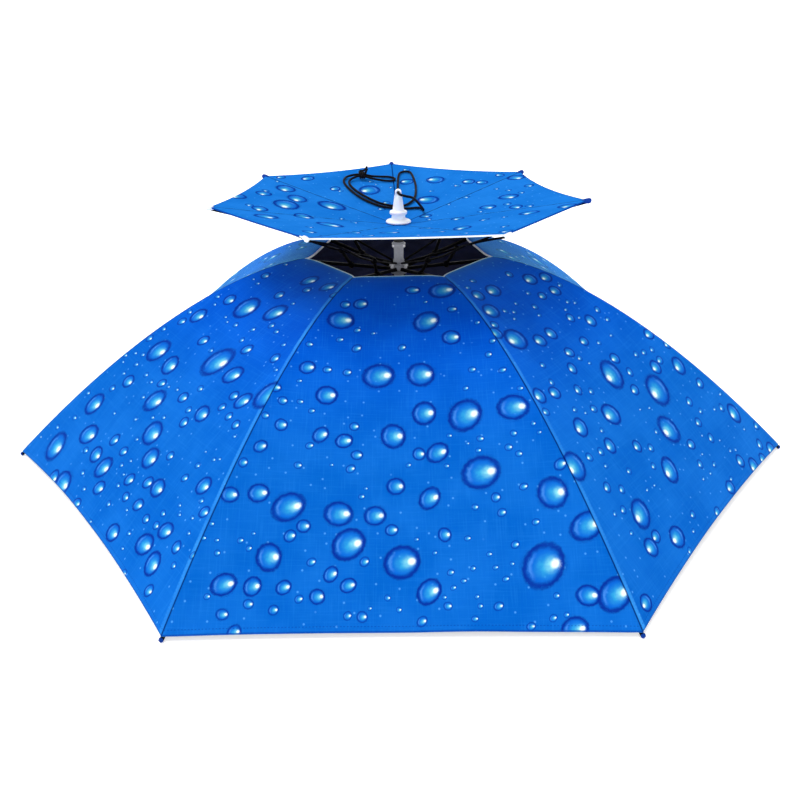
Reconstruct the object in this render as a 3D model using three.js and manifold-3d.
// An umbrella hat: seven main gores round a vent, a smaller dished canopy over the vent, and the frame
// that carries both on a headband. Millimetres, +Z up, standing on the seven ends of its main ribs.
// Every size below is in the hat's own frame: the shaft's axis is x = y = 0, and the corners of the
// main cloth are at height 0. The last group lifts the hat so that the ends of its ribs stand on z = 0.
import * as THREE from "three";
import { mergeVertices } from "three/addons/utils/BufferGeometryUtils.js";
import Module from "manifold-3d";

const wasm = await Module();
wasm.setup();

// The whole hat
const ribCount = 7;
const clearance = 0.3; // between pieces that touch
const clothWall = 1.4; // measured straight down

// Main canopy
const rimRadius = 385; // shaft axis to a corner of the cloth
const ventRadius = 92; // shaft axis to a corner of the vent
const canopyHeight = 174.4; // corners of the cloth to the edge of the vent
const domePower = 1.58; // a higher power keeps the dome flat for longer
const panelSag = 5; // how far the middle of a gore hangs below a straight line between its ribs
const hemScallop = 5; // how far the middle of a hem is cut in
const trimPower = 6; // keeps the scallop near the hem

// Upper canopy, a shallow dish
const upperRadius = 177.4; // shaft axis to a corner
const upperTwist = THREE.MathUtils.degToRad(2.4); // it sits turned a little on the main one
const dishLift = 28.8; // edge of the vent up to the upper cloth at the shaft
const dishRise = 27.3; // from there up to the corners
const dishFlat = 13.6; // corner radius of the flat middle that the finial clamps
const dishHole = 7; // corner radius of the hole for the shaft
const upperSag = 1.2; // how far the middle of its hem hangs
const upperScallop = 3.3; // how far the middle of its hem is cut in

// Main ribs, with a round cap at each end that the cloth's corner is sewn to
const ribWidth = 2.6;
const ribDepth = 3;
const tipCapRadius = 2;
const tipOverhang = 0.6; // how far the cap's middle stands past the corner of the cloth

// Upper ribs and the struts that hold them up
const rodRadius = 1.1;
const rodCapRadius = 2;
const rodCapReach = 2.4; // past the corner of the cloth
const rodCapLift = 0.7; // its middle over the rod's end
const rodDrop = 0.4; // its inner end lies this far under the middle of the hub's groove
const rodSlant = 1.05; // a slanted rod is this much taller than its section
const strutRadius = 1.6;
const strutInset = 44; // from a corner of the vent in to the strut's joint on the main rib
const footKnuckle = 3.6; // radius of the joint that goes round the main rib
const headKnuckle = 3.1; // radius of the joint that goes round the upper rib

// Shaft and hubs
const shaftRadius = 4.75;
const shaftFoot = 104.3;
const seatRadius = 10; // the disc under the upper cloth
const seatWall = 2.4;
const upperHubRadius = 7;
const upperHubHeight = 5.6;
const upperHubDrop = 22.2; // upper cloth down to the hub's middle
const hubRadius = 8.5;
const hubWaist = 6; // radius at the bottom of its groove, and of the neck over its upper flange
const hubFlange = 2;
const grooveHeight = 4.7;
const hubDrop = 16.9; // edge of the vent down to the groove that holds the main ribs

// Runner and stretchers
const runnerRadius = 9;
const runnerWaist = 6;
const runnerFlange = 7.5;
const runnerLift = 13.7; // shaft's foot up to the groove that holds the stretchers
const stretcherWidth = 3;
const stretcherDepth = 3.2;
const stretcherReach = 188; // shaft axis to the joint on the main rib

// Crown pad, headband and its straps
const padRadius = 24;
const padFace = 20; // radius of its flat underside
const padDepth = 8;
const padLip = 1; // how far its upper edge is drawn in
const bandRadius = 90; // inside, for a head 56.5 cm round
const bandWall = 2.5;
const bandFoot = 16;
const bandHeight = 35;
const bandChamfer = 0.8;
const strapWidth = 14;
const strapWall = 1.4;
const strapLap = 31; // how far a strap runs down the band
const strapHead = 4; // cloth above the slot that the stretcher passes through

// Finial
const finialRadius = 12.2;
const finialHeight = 31.6;
const eyeWidth = 6.2;
const eyeDepth = 5.4;
const eyeUp = 28.8; // finial's foot to the middle of the cord's hole
const eyeFoot = 24; // where the flat eye starts out of the round stem

// Elastic cord and its knot
const cordRadius = 1.2;
const knotRadius = 4.6;
const knotLength = 9;
const knotX = -39;
const knotY = 118;
const stubLength = 7;
const stubPlace = 3; // from the middle of the knot
const stubLean = THREE.MathUtils.degToRad(30);

// How finely round things are faceted
const turnedSides = 16;
const padSides = 24;
const bandSides = 48;
const knotSides = 14;
const cordSides = 8;
const cordSteps = 84;
const rodSides = 6;
const rodSteps = 9;
const ballSides = 8;
const ballRings = 4;
const eyeSegments = 7;

// A gore's sections from vent to hem: how far along, and how much of the sag it has there.
const goreSections = [
  { along: 0, sag: 0 },
  { along: 0.12, sag: 0.45 },
  { along: 0.25, sag: 0.8 },
  { along: 0.38, sag: 1 },
  { along: 0.5, sag: 1 },
  { along: 0.62, sag: 0.9 },
  { along: 0.75, sag: 0.65 },
  { along: 0.88, sag: 0.4 },
  { along: 1, sag: 0.2 },
];

// The seven gores from the front one round to the right, and the share of the scallop that each has
// in the main canopy and in the upper one.
const gores = [
  { hem: 0.4, upperHem: 1 },
  { hem: 1, upperHem: 1 },
  { hem: 1, upperHem: 2 },
  { hem: 1, upperHem: 1 },
  { hem: 1, upperHem: 1 },
  { hem: 1, upperHem: 1 },
  { hem: 1.4, upperHem: 0.6 },
];

// The dish's sections from the edge of its flat middle to the hem: the rise and the sag at each.
const dishSections = [
  { along: 0, rise: 0, sag: 0 },
  { along: 0.3, rise: 0.29, sag: 0 },
  { along: 0.65, rise: 0.64, sag: 0.35 },
  { along: 1, rise: 1, sag: 1 },
];

// The bow of an upper rib from the hub to the corner of the cloth, in shares of its reach and rise.
const rodBow = [
  { out: 0.3, up: 0.25 },
  { out: 0.5, up: 0.46 },
  { out: 0.65, up: 0.67 },
  { out: 0.83, up: 0.855 },
];
const strutRow = rodBow[0]; // the strut holds the rib there

// The finial's round profile, in shares of its height and of its flange's radius.
const finialSections = [
  { up: 0, out: 1 },
  { up: 0.035, out: 1 },
  { up: 0.07, out: 0.9 },
  { up: 0.1, out: 0.64 },
  { up: 0.125, out: 0.56 },
  { up: 0.225, out: 0.55 },
  { up: 0.26, out: 0.68 },
  { up: 0.3, out: 0.7 },
  { up: 0.345, out: 0.66 },
  { up: 0.375, out: 0.46 },
  { up: 0.58, out: 0.385 },
  { up: 0.8, out: 0.3 },
  { up: 0.84, out: 0.2 },
];

// The knot's barrel from end to end: three turns of cord, in shares of its length and radius.
const knotSections = [
  { along: 0, out: 0.62 },
  { along: 0.06, out: 0.86 },
  { along: 0.18, out: 1 },
  { along: 0.33, out: 0.88 },
  { along: 0.5, out: 1 },
  { along: 0.67, out: 0.88 },
  { along: 0.82, out: 1 },
  { along: 0.94, out: 0.86 },
  { along: 1, out: 0.62 },
];

// The cord's route, chosen by hand: where it lies on the dish, and how far it is lifted there. It
// leaves the eye's front, turns back behind the finial, runs out to the knot and back, and rises from
// a wide loop into the eye's back. The rows between the eye and the cloth have a height above the
// finial's foot instead.
const cordRoute = [
  { x: 0, y: -0.2, above: 28.8 },
  { x: 0.2, y: -4.5, above: 28.7 },
  { x: 2.3, y: -9.5, above: 28.2 },
  { x: 7.4, y: -11.7, above: 27.2 },
  { x: 12.3, y: -9.2, above: 25.7 },
  { x: 14.8, y: -3.5, above: 23.4 },
  { x: 19.6, y: 11, above: 16 },
  { x: 25.2, y: 25.4, lift: 1 },
  { x: 21.2, y: 34.4, lift: 0 },
  { x: 6, y: 35.6, lift: 0 },
  { x: -14, y: 39, lift: 0 },
  { x: -34, y: 54, lift: 0 },
  { x: -53, y: 85, lift: 0 },
  { x: -59, y: 107, lift: 0 },
  { x: -56, y: 118.5, lift: 0.3 },
  { x: -48.5, y: 121.6, lift: 1.8 },
  { x: -39, y: 120.2, lift: 3.4 },
  { x: -29.5, y: 121.6, lift: 1.8 },
  { x: -19, y: 126.6, lift: 0.1 },
  { x: -9.8, y: 127.6, lift: 0 },
  { x: -5.4, y: 125.7, lift: 0 },
  { x: -3.6, y: 121.4, lift: 0 },
  { x: -5.4, y: 117.1, lift: 0 },
  { x: -9.8, y: 115.2, lift: 0 },
  { x: -19, y: 115.2, lift: 0.3 },
  { x: -29.5, y: 114.8, lift: 1.8 },
  { x: -39, y: 115.8, lift: 3.4 },
  { x: -47.5, y: 114.2, lift: 1.8 },
  { x: -53, y: 106, lift: 0 },
  { x: -49, y: 88, lift: 0 },
  { x: -34, y: 64, lift: 0 },
  { x: -14, y: 46, lift: 0 },
  { x: 4, y: 43, lift: 0 },
  { x: 14.5, y: 54.5, lift: 0 },
  { x: 19, y: 90, lift: 0 },
  { x: 14.8, y: 135.6, lift: 0 },
  { x: 12.8, y: 140.8, lift: 0 },
  { x: 8, y: 143, lift: 0 },
  { x: 3.2, y: 140.8, lift: 0 },
  { x: 1.2, y: 135.6, lift: 0 },
  { x: -0.5, y: 98, lift: 0 },
  { x: -0.5, y: 58, lift: 0.8 },
  { x: -0.5, y: 38, lift: 4 },
  { x: -0.3, y: 22, above: 20.1 },
  { x: 0, y: 7, above: 28.3 },
  { x: 0, y: 0.2, above: 28.8 },
];

// Sizes that follow from those above
const panelAngle = (2 * Math.PI) / ribCount;
const halfAngle = panelAngle / 2;
const frontGore = -Math.PI / 2;
const lift = clothWall + clearance + 2 * tipCapRadius;
const tipReach = rimRadius + tipOverhang + tipCapRadius;
const backShift = (tipReach - tipReach * Math.cos(halfAngle)) / 2;
const bore = shaftRadius + clearance;
const dishFloor = canopyHeight + dishLift;
const finialFoot = dishFloor + clearance;
const upperHubMiddle = dishFloor - upperHubDrop;
const mainGroove = canopyHeight - hubDrop;
const upperGroove = mainGroove + grooveHeight + hubFlange;
const runnerGroove = shaftFoot + runnerLift;
const strutFoot = ventRadius - strutInset;

// Materials
function finish(color, roughness, metalness = 0) {
  return new THREE.MeshStandardMaterial({ color, roughness, metalness });
}
const blueCloth = finish(0x1e78e0, 0.75);
const blackSteel = finish(0x16181c, 0.45, 0.3);
const greyPlastic = finish(0x8c8f96, 0.4);
const whitePlastic = finish(0xf0f2f0, 0.35);
const blackPlastic = finish(0x1b1c20, 0.55);
const blackWebbing = finish(0x22242a, 0.9);
const blackElastic = finish(0x101114, 0.85);

const hat = new THREE.Group();
hat.position.set(0, -backShift, lift);

function addMesh(name, geometry, material, turn = 0) {
  const mesh = new THREE.Mesh(geometry, material);
  mesh.name = name;
  mesh.rotation.z = turn;
  hat.add(mesh);
  return mesh;
}

const weldDistance = 1e-4;

// Turns a closed geometry into a solid that can be cut or joined, and a solid back into a geometry.
function solidFrom(geometry) {
  const bare = geometry.clone();
  bare.deleteAttribute("normal");
  bare.deleteAttribute("uv");
  const merged = mergeVertices(bare, weldDistance);
  const vertProperties = merged.attributes.position.array;
  const triVerts = new Uint32Array(merged.index.array);
  return new wasm.Manifold(new wasm.Mesh({ numProp: 3, vertProperties, triVerts }));
}

function geometryFrom(solid) {
  const mesh = solid.getMesh();
  const geometry = new THREE.BufferGeometry();
  geometry.setAttribute("position", new THREE.BufferAttribute(mesh.vertProperties, 3));
  geometry.setIndex(new THREE.BufferAttribute(mesh.triVerts, 1));
  geometry.computeVertexNormals();
  return geometry;
}

// Small caps and knuckles
function ball(radius) {
  return new THREE.SphereGeometry(radius, ballSides, ballRings);
}

// Reads a column of a table at any place along it.
function between(rows, key, column, place) {
  const last = rows.length - 1;
  let i = 0;
  while (i < last - 1 && rows[i + 1][key] < place) i += 1;
  const share = (place - rows[i][key]) / (rows[i + 1][key] - rows[i][key]);
  return THREE.MathUtils.lerp(rows[i][column], rows[i + 1][column], share);
}

// Panels of cloth
// point(row, column) gives a sheet's upper side, and its lower side lies one wall further down.
function clothSheet(rows, columns, point) {
  const positions = [];
  for (const drop of [0, clothWall]) {
    for (let row = 0; row <= rows; row += 1) {
      for (let column = 0; column <= columns; column += 1) {
        const p = point(row, column);
        positions.push(p.x, p.y, p.z - drop);
      }
    }
  }
  const lower = (rows + 1) * (columns + 1);
  const top = (row, column) => row * (columns + 1) + column;
  const under = (row, column) => lower + top(row, column);
  const faces = [];
  const quad = (a, b, c, d) => faces.push(a, b, c, a, c, d);
  for (let i = 0; i < rows; i += 1) {
    for (let j = 0; j < columns; j += 1) {
      quad(top(i, j), top(i + 1, j), top(i + 1, j + 1), top(i, j + 1));
      quad(under(i, j), under(i, j + 1), under(i + 1, j + 1), under(i + 1, j));
    }
    quad(top(i, 0), under(i, 0), under(i + 1, 0), top(i + 1, 0));
    quad(top(i, columns), top(i + 1, columns), under(i + 1, columns), under(i, columns));
  }
  for (let j = 0; j < columns; j += 1) {
    quad(top(0, j), top(0, j + 1), under(0, j + 1), under(0, j));
    quad(top(rows, j), under(rows, j), under(rows, j + 1), top(rows, j + 1));
  }
  const geometry = new THREE.BufferGeometry();
  geometry.setAttribute("position", new THREE.Float32BufferAttribute(positions, 3));
  geometry.setIndex(faces);
  geometry.computeVertexNormals();
  return geometry;
}

// A point of a gore whose middle line is +X: corner is the radius of the seam at its level, across
// runs from -1 at one seam to 1 at the other, and the seams stand half a clearance off the ribs' planes.
function gorePoint(corner, across, height) {
  const inset = clearance / 2 / Math.cos(halfAngle);
  const x = corner * Math.cos(halfAngle);
  const y = across * (corner * Math.sin(halfAngle) - inset);
  return new THREE.Vector3(x, y, height);
}

const domeSpan = rimRadius - ventRadius;
const domeHeight = (corner) => {
  const along = Math.max(0, (corner - ventRadius) / domeSpan);
  return canopyHeight * (1 - along ** domePower);
};

const goreColumns = 6;

function mainPanel(gore) {
  return clothSheet(goreSections.length - 1, goreColumns, (row, column) => {
    const { along, sag } = goreSections[row];
    const across = (2 * column) / goreColumns - 1;
    const hollow = 1 - across ** 2;
    const trim = hemScallop * gore.hem * hollow * along ** trimPower;
    const corner = ventRadius + domeSpan * along - trim;
    return gorePoint(corner, across, domeHeight(corner) - panelSag * sag * hollow);
  });
}

gores.forEach((gore, i) => {
  addMesh(`main_panel_${i + 1}`, mainPanel(gore), blueCloth, frontGore + i * panelAngle);
});

// The dish's height by the radius of the seam at that level
function dishHeight(corner) {
  const along = Math.max(0, (corner - dishFlat) / (upperRadius - dishFlat));
  return dishFloor + dishRise * between(dishSections, "along", "rise", along);
}

const dishSag = (corner) => {
  const along = Math.max(0, (corner - dishFlat) / (upperRadius - dishFlat));
  return upperSag * between(dishSections, "along", "sag", along);
};

const upperColumns = 6;

function upperPanel(gore) {
  const rows = dishSections.map(({ along }) => {
    const trim = upperScallop * gore.upperHem * along ** trimPower;
    return { corner: THREE.MathUtils.lerp(dishFlat, upperRadius, along), trim };
  });
  rows.unshift({ corner: dishHole, trim: 0 });
  return clothSheet(rows.length - 1, upperColumns, (row, column) => {
    const across = (2 * column) / upperColumns - 1;
    const hollow = 1 - across ** 2;
    const corner = rows[row].corner - rows[row].trim * hollow;
    return gorePoint(corner, across, dishHeight(corner) - dishSag(corner) * hollow);
  });
}

gores.forEach((gore, i) => {
  const turn = frontGore + i * panelAngle + upperTwist;
  addMesh(`upper_panel_${i + 1}`, upperPanel(gore), blueCloth, turn);
});

// Main ribs
// A flat bar that stands upright in its rib's plane: its side view is the outline.
function bar(outline, width) {
  const shape = new THREE.Shape(outline.map(([out, up]) => new THREE.Vector2(out, up)));
  const geometry = new THREE.ExtrudeGeometry(shape, { depth: width, bevelEnabled: false });
  geometry.rotateX(Math.PI / 2);
  geometry.translate(0, width / 2, 0);
  return geometry;
}

// The rib's upper side runs one clearance under the cloth, as low as the cloth is at the rib's edge.
const ribEdge = ribWidth / 2;
const ribLine = goreSections.map(({ along, sag }) => {
  const corner = ventRadius + domeSpan * along;
  const halfChord = corner * Math.sin(halfAngle);
  const across = 1 - ribEdge / Math.cos(halfAngle) / halfChord;
  const clothTop = domeHeight(corner) - panelSag * sag * (1 - across ** 2);
  const out = corner - ribEdge * Math.tan(halfAngle);
  return { out, up: clothTop - clothWall - clearance };
});
ribLine.unshift({ out: hubWaist + clearance, up: mainGroove + ribDepth / 2 });

const ribTop = (out) => between(ribLine, "out", "up", out);

function ribOutline(swell) {
  const upper = ribLine.map(({ out, up }) => [out, up + swell]);
  const lower = ribLine.map(({ out, up }) => [out, up - ribDepth - swell]);
  return [...lower, ...upper.reverse()];
}

function mainRib() {
  const cap = ball(tipCapRadius);
  cap.rotateX(Math.PI / 2);
  cap.translate(rimRadius + tipOverhang, 0, tipCapRadius - lift);
  return geometryFrom(solidFrom(bar(ribOutline(0), ribWidth)).add(solidFrom(cap)));
}

const ribTurn = (i) => frontGore + halfAngle + i * panelAngle;

for (let i = 0; i < ribCount; i += 1) {
  addMesh(`main_rib_${i + 1}`, mainRib(), blackSteel, ribTurn(i));
}

// Upper ribs
// A round rod along a curve
function rod(curve, radius, steps, sides) {
  const section = new THREE.Shape();
  section.absarc(0, 0, radius, 0, 2 * Math.PI);
  const options = { steps, curveSegments: sides / 2, bevelEnabled: false, extrudePath: curve };
  return new THREE.ExtrudeGeometry(section, options);
}

const rodStart = { out: hubWaist + clearance, up: upperGroove - rodDrop };
const rodEnd = {
  out: upperRadius,
  up: dishHeight(upperRadius) - clothWall - clearance - rodRadius * rodSlant,
};
const rodPoint = ({ out, up }) => {
  const x = THREE.MathUtils.lerp(rodStart.out, rodEnd.out, out);
  const z = THREE.MathUtils.lerp(rodStart.up, rodEnd.up, up);
  return new THREE.Vector3(x, 0, z);
};

function rodCurve() {
  const points = [{ out: 0, up: 0 }, ...rodBow, { out: 1, up: 1 }].map(rodPoint);
  const end = points[points.length - 1];
  const run = end.clone().sub(points[points.length - 2]).normalize();
  points.push(end.clone().addScaledVector(run, rodCapReach));
  return new THREE.CatmullRomCurve3(points);
}

function upperRib() {
  const curve = rodCurve();
  const tip = curve.getPoint(1);
  const cap = ball(rodCapRadius);
  cap.translate(tip.x, tip.y, tip.z + rodCapLift);
  return geometryFrom(solidFrom(rod(curve, rodRadius, rodSteps, rodSides)).add(solidFrom(cap)));
}

for (let i = 0; i < ribCount; i += 1) {
  addMesh(`upper_rib_${i + 1}`, upperRib(), blackSteel, ribTurn(i) + upperTwist);
}

// Struts, each with a knuckle round the main rib and another round the upper rib
function strut() {
  const foot = new THREE.Vector3(strutFoot, 0, ribTop(strutFoot) - ribDepth / 2);
  const head = rodPoint(strutRow).applyAxisAngle(new THREE.Vector3(0, 0, 1), upperTwist);
  const leg = head.clone().sub(foot);
  const post = new THREE.CylinderGeometry(strutRadius, strutRadius, leg.length(), rodSides);
  post.applyQuaternion(
    new THREE.Quaternion().setFromUnitVectors(new THREE.Vector3(0, 1, 0), leg.clone().normalize()),
  );
  const middle = foot.clone().lerp(head, 0.5);
  post.translate(middle.x, middle.y, middle.z);
  const footBall = ball(footKnuckle).translate(foot.x, foot.y, foot.z);
  const headBall = ball(headKnuckle).translate(head.x, head.y, head.z);
  const mainSlot = bar(ribOutline(clearance), ribWidth + 2 * clearance);
  const upperHole = rod(rodCurve(), rodRadius + clearance, rodSteps, rodSides).rotateZ(upperTwist);
  return geometryFrom(
    solidFrom(post)
      .add(solidFrom(footBall))
      .add(solidFrom(headBall))
      .subtract(solidFrom(mainSlot))
      .subtract(solidFrom(upperHole)),
  );
}

for (let i = 0; i < ribCount; i += 1) {
  addMesh(`strut_${i + 1}`, strut(), blackSteel, ribTurn(i));
}

// Shaft, hubs, runner and crown pad, all turned round the axis
function turned(profile, segments = turnedSides) {
  const points = profile.map(([out, up]) => new THREE.Vector2(out, up));
  return new THREE.LatheGeometry(points, segments);
}

// A ring's profile goes up its outer side and back down its bore.
function turnedRing(outer, hole, segments = turnedSides) {
  const foot = outer[0][1];
  const head = outer[outer.length - 1][1];
  return turned([[hole, foot], ...outer, [hole, head], [hole, foot]], segments);
}

// The lathe turns its profile about Y, so each turned piece is then stood upright.
function addTurned(name, geometry, material) {
  geometry.rotateX(Math.PI / 2);
  return addMesh(name, geometry, material);
}

const seatTop = dishFloor - clothWall - clearance;
addTurned(
  "shaft",
  turned([
    [0, shaftFoot],
    [shaftRadius, shaftFoot],
    [shaftRadius, seatTop - seatWall],
    [seatRadius, seatTop - seatWall],
    [seatRadius, seatTop],
    [shaftRadius, seatTop],
    [shaftRadius, finialFoot - clearance],
    [0, finialFoot - clearance],
  ]),
  greyPlastic,
);

const collarEdge = 1;
addTurned(
  "upper_hub",
  turnedRing(
    [
      [upperHubRadius - collarEdge, upperHubMiddle - upperHubHeight / 2],
      [upperHubRadius, upperHubMiddle - upperHubHeight / 2 + collarEdge],
      [upperHubRadius, upperHubMiddle + upperHubHeight / 2 - collarEdge],
      [upperHubRadius - collarEdge, upperHubMiddle + upperHubHeight / 2],
    ],
    bore,
  ),
  greyPlastic,
);

// A spool with one groove: its profile up the outer side, to the top of its upper flange
function spoolProfile(radius, waist, flange, groove) {
  return [
    [radius, groove - grooveHeight / 2 - flange],
    [radius, groove - grooveHeight / 2],
    [waist, groove - grooveHeight / 2],
    [waist, groove + grooveHeight / 2],
    [radius, groove + grooveHeight / 2],
    [radius, groove + grooveHeight / 2 + flange],
  ];
}

// The upper ribs stand on the hub's upper flange, against a neck as wide as its waist.
const hubProfile = spoolProfile(hubRadius, hubWaist, hubFlange, mainGroove);
hubProfile.push(
  [hubWaist, upperGroove - grooveHeight / 2],
  [hubWaist, upperGroove + grooveHeight / 2],
);
addTurned("lower_hub", turnedRing(hubProfile, bore), greyPlastic);
const runnerProfile = spoolProfile(runnerRadius, runnerWaist, runnerFlange, runnerGroove);
addTurned("runner", turnedRing(runnerProfile, bore), greyPlastic);

const padTop = shaftFoot - clearance;
addTurned(
  "crown_pad",
  turned(
    [
      [0, padTop - padDepth],
      [padFace, padTop - padDepth],
      [padRadius, padTop - padDepth / 2],
      [padRadius - padLip, padTop],
      [0, padTop],
    ],
    padSides,
  ),
  blackPlastic,
);

// Stretchers, from the runner's groove to the underside of the main ribs
const seatUnder = ribTop(stretcherReach) - ribDepth - clearance;
const stretcherRoot = runnerWaist + clearance;
const stretcherRise = (seatUnder - stretcherDepth / 2 - runnerGroove) / (stretcherReach - stretcherRoot);
const stretcherMiddle = (out) => runnerGroove + (out - stretcherRoot) * stretcherRise;

const nearEnough = 0.01;

// Where a line at some height off the stretcher's middle meets the rib's underside
function seatOut(above) {
  let near = stretcherRoot;
  let far = rimRadius;
  while (far - near > nearEnough) {
    const out = (near + far) / 2;
    const free = ribTop(out) - ribDepth - clearance - stretcherMiddle(out) - above;
    if (free > 0) near = out;
    else far = out;
  }
  return near;
}

function stretcher() {
  const half = stretcherDepth / 2;
  const upperEnd = seatOut(half);
  const lowerEnd = seatOut(-half);
  const outline = [
    [stretcherRoot, stretcherMiddle(stretcherRoot) - half],
    [lowerEnd, stretcherMiddle(lowerEnd) - half],
    [upperEnd, stretcherMiddle(upperEnd) + half],
    [stretcherRoot, stretcherMiddle(stretcherRoot) + half],
  ];
  return bar(outline, stretcherWidth);
}

for (let i = 0; i < ribCount; i += 1) {
  addMesh(`stretcher_${i + 1}`, stretcher(), blackSteel, ribTurn(i));
}

// Headband, and the straps that hang it from the stretchers
const bandOuter = bandRadius + bandWall;
const bandTop = bandFoot + bandHeight;
addTurned(
  "headband",
  turned(
    [
      [bandRadius, bandFoot],
      [bandOuter - bandChamfer, bandFoot],
      [bandOuter, bandFoot + bandChamfer],
      [bandOuter, bandTop - bandChamfer],
      [bandOuter - bandChamfer, bandTop],
      [bandRadius, bandTop],
      [bandRadius, bandFoot],
    ],
    bandSides,
  ),
  blackWebbing,
);

// A strap lies flat on the band, and its sewn slot goes round the stretcher.
function bandStrap() {
  const strapIn = bandOuter + clearance;
  const slotMiddle = stretcherMiddle(strapIn + strapWall / 2);
  const slotHalfHeight = stretcherDepth / 2 + clearance + strapWall * stretcherRise;
  const slotHalfWidth = stretcherWidth / 2 + clearance;
  const foot = bandTop - strapLap;
  const head = slotMiddle + slotHalfHeight + strapHead;
  const half = strapWidth / 2;
  const shape = new THREE.Shape([
    new THREE.Vector2(-half, foot),
    new THREE.Vector2(half, foot),
    new THREE.Vector2(half, head),
    new THREE.Vector2(-half, head),
  ]);
  shape.holes.push(
    new THREE.Path([
      new THREE.Vector2(-slotHalfWidth, slotMiddle - slotHalfHeight),
      new THREE.Vector2(-slotHalfWidth, slotMiddle + slotHalfHeight),
      new THREE.Vector2(slotHalfWidth, slotMiddle + slotHalfHeight),
      new THREE.Vector2(slotHalfWidth, slotMiddle - slotHalfHeight),
    ]),
  );
  const geometry = new THREE.ExtrudeGeometry(shape, { depth: strapWall, bevelEnabled: false });
  geometry.rotateX(Math.PI / 2);
  geometry.rotateZ(Math.PI / 2);
  geometry.translate(strapIn, 0, 0);
  return geometry;
}

for (let i = 0; i < ribCount; i += 1) {
  addMesh(`band_strap_${i + 1}`, bandStrap(), blackWebbing, ribTurn(i));
}

// Finial: a turned post with a flange that clamps the upper cloth, and a flat eye for the cord
function finial() {
  const profile = finialSections.map(({ up, out }) => [
    finialRadius * out,
    finialFoot + finialHeight * up,
  ]);
  const head = profile[profile.length - 1];
  const post = turned([[0, finialFoot], ...profile, [0, head[1]]]).rotateX(Math.PI / 2);

  const half = eyeWidth / 2;
  const shoulder = finialHeight - half;
  const shape = new THREE.Shape();
  shape.moveTo(-half, eyeFoot);
  shape.lineTo(half, eyeFoot);
  shape.lineTo(half, shoulder);
  shape.absarc(0, shoulder, half, 0, Math.PI);
  shape.lineTo(-half, eyeFoot);
  const hole = new THREE.Path();
  hole.absarc(0, eyeUp, cordRadius + clearance, 0, 2 * Math.PI, true);
  shape.holes.push(hole);
  const options = { depth: eyeDepth, curveSegments: eyeSegments, bevelEnabled: false };
  const eye = new THREE.ExtrudeGeometry(shape, options);
  eye.rotateX(Math.PI / 2);
  eye.translate(0, eyeDepth / 2, finialFoot);
  return geometryFrom(solidFrom(post).add(solidFrom(eye)));
}

addMesh("finial", finial(), whitePlastic);

// Cord and knot
// The height of the upper cloth at any place on it
function dishTop(x, y) {
  const angle = Math.atan2(y, x) - upperTwist - frontGore;
  const fromMiddle = angle - Math.round(angle / panelAngle) * panelAngle;
  const radius = Math.hypot(x, y);
  const corner = (radius * Math.cos(fromMiddle)) / Math.cos(halfAngle);
  const across = Math.tan(fromMiddle) / Math.tan(halfAngle);
  return dishHeight(corner) - dishSag(corner) * (1 - across ** 2);
}

const layHeight = cordRadius + clearance;

// The cord steps from one chosen point to the next, so that its tight bends get short steps.
class RouteCurve extends THREE.CatmullRomCurve3 {
  getUtoTmapping(u) {
    return u;
  }
}

function cordCurve() {
  const points = cordRoute.map((row) => {
    const onCloth = row.above === undefined;
    const height = onCloth ? dishTop(row.x, row.y) + layHeight + row.lift : finialFoot + row.above;
    return new THREE.Vector3(row.x, row.y, height);
  });
  return new RouteCurve(points);
}


addMesh("loop_cord", rod(cordCurve(), cordRadius, cordSteps, cordSides), blackElastic);

// A barrel of three turns, open for the cord's two passes, with the stub of its tied end
function cordKnot() {
  const barrelPoints = knotSections.map(({ along, out }) => [
    knotRadius * out,
    knotLength * (along - 0.5),
  ]);
  const barrel = turned([[0, -knotLength / 2], ...barrelPoints, [0, knotLength / 2]], knotSides);
  barrel.rotateZ(-Math.PI / 2);
  const middle = new THREE.Vector3(knotX, knotY, dishTop(knotX, knotY) + clearance + knotRadius);
  barrel.translate(middle.x, middle.y, middle.z);

  const stub = new THREE.CylinderGeometry(cordRadius, cordRadius, stubLength, cordSides);
  stub.rotateZ(-stubLean);
  stub.translate(middle.x + stubPlace, middle.y, middle.z + knotRadius);
  const channel = rod(cordCurve(), cordRadius + clearance, cordSteps, cordSides);
  return geometryFrom(
    solidFrom(barrel).add(solidFrom(stub)).subtract(solidFrom(channel)),
  );
}

addMesh("cord_knot", cordKnot(), blackElastic);

const umbrellaHat = new THREE.Group();
umbrellaHat.add(hat);

export default umbrellaHat;
